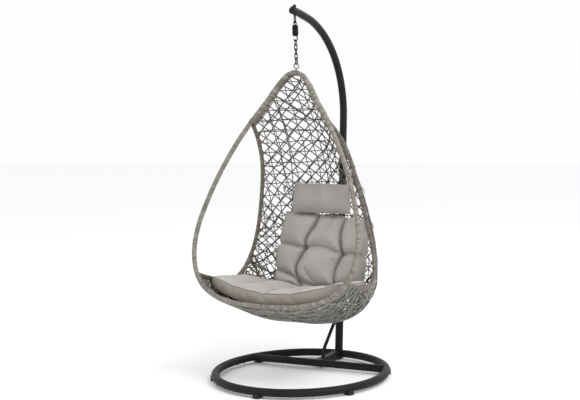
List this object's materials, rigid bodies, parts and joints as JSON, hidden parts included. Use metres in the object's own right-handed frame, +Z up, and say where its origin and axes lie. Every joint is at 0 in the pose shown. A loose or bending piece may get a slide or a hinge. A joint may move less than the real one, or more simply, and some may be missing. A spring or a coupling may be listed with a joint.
{
  "type": "hanging egg chair",
  "caption": "Teardrop wicker swing chair with open sides, tufted seat and back cushions and a head pillow, hung by spring and chain from a curved post on a round tube base.",
  "frame": {"origin": "on the floor, straight below the vertical line that the basket hangs from, within 9 mm of the middle of the part's outline", "axes": "+Z up; the sitter looks along -Y and the post stands at +Y; +X is the sitter's left"},
  "size_m": [0.9744, 1.1019, 1.9631],
  "materials": {
    "stand_steel": "fine-textured charcoal powder coat",
    "inner_steel": "primed tube, hidden in the wrap",
    "rib_steel": "grey-brown powder coat",
    "dark_fastener": "black-coated steel",
    "chain_steel": "black-coated steel",
    "spring_steel": "black-coated spring wire",
    "zinc_ring": "galvanised",
    "black_plastic": "moulded",
    "rattan_wrap": "flat synthetic rattan, beige-grey",
    "rattan_weave": "round synthetic rattan, grey-brown",
    "cushion_fabric": "plain-woven polyester, grey-taupe",
    "pillow_fabric": "plain-woven polyester, grey-taupe"
  },
  "bodies": {
    "stand": {"arm_bushing": "stand_steel", "arm_end_cap": "black_plastic", "base_cross_bar": "stand_steel", "base_joint_screws": "dark_fastener", "base_joint_sleeves": "inner_steel", "base_rear_bar": "stand_steel", "base_ring_front": "stand_steel", "base_ring_rear": "stand_steel", "eye_bolt": "dark_fastener", "eye_bolt_dome_nut": "dark_fastener", "eye_bolt_washers": "dark_fastener", "foot_glides": "black_plastic", "post_brace": "stand_steel", "post_lap_bolts": "dark_fastener", "post_lap_nuts": "dark_fastener", "post_lower": "stand_steel", "post_upper_arm": "stand_steel"},
    "spring_body": {"spring_top_hook": "chain_steel", "spring_coil": "spring_steel"},
    "lower_hook": {"spring_bottom_hook": "chain_steel"},
    "chain": {"chain_link_1": "chain_steel", "chain_link_2": "chain_steel", "chain_link_3": "chain_steel", "chain_link_4": "chain_steel", "quick_link": "chain_steel", "quick_link_sleeve": "chain_steel"},
    "basket": {"apex_ring": "zinc_ring", "back_cushion": "cushion_fabric", "cross_rib_back": "rib_steel", "cross_rib_head": "rib_steel", "cross_rib_seat": "rib_steel", "head_pillow": "pillow_fabric", "hoop_rear_tube": "inner_steel", "hoop_tube": "inner_steel", "hoop_wrap_lower": "rattan_wrap", "hoop_wrap_upper": "rattan_wrap", "long_rib_centre": "rib_steel", "long_rib_left": "rib_steel", "long_rib_right": "rib_steel", "pillow_tie_left": "pillow_fabric", "pillow_tie_right": "pillow_fabric", "seat_cushion": "cushion_fabric", "side_tube_left": "inner_steel", "side_tube_right": "inner_steel", "side_wrap_left": "rattan_wrap", "side_wrap_right": "rattan_wrap", "weave_back": "rattan_weave", "weave_head": "rattan_weave", "weave_lumbar": "rattan_weave", "weave_seat": "rattan_weave"}
  },
  "joints": [
    {"name": "swing_fore_aft", "type": "hinge", "parent": "stand", "child": "spring_body", "pos_m": [0, 0, 1.8733], "axis": [-1, 0, 0], "range_deg": [-0.8, 15]},
    {"name": "spring_bounce", "type": "slide", "parent": "spring_body", "child": "lower_hook", "axis": [0, 0, -1], "range_m": [0, 0.03], "stiffness_N_per_m": 18000, "springref_m": -0.025, "deforming": ["spring_coil"]},
    {"name": "swing_sideways", "type": "hinge", "parent": "lower_hook", "child": "chain", "pos_m": [0, 0, 1.78005], "axis": [0, 1, 0], "range_deg": [-15, 15]},
    {"name": "basket_swivel", "type": "hinge", "parent": "chain", "child": "basket", "pos_m": [0, 0, 1.6578], "axis": [0, 0, 1], "range_deg": [-20, 20]}
  ]
}
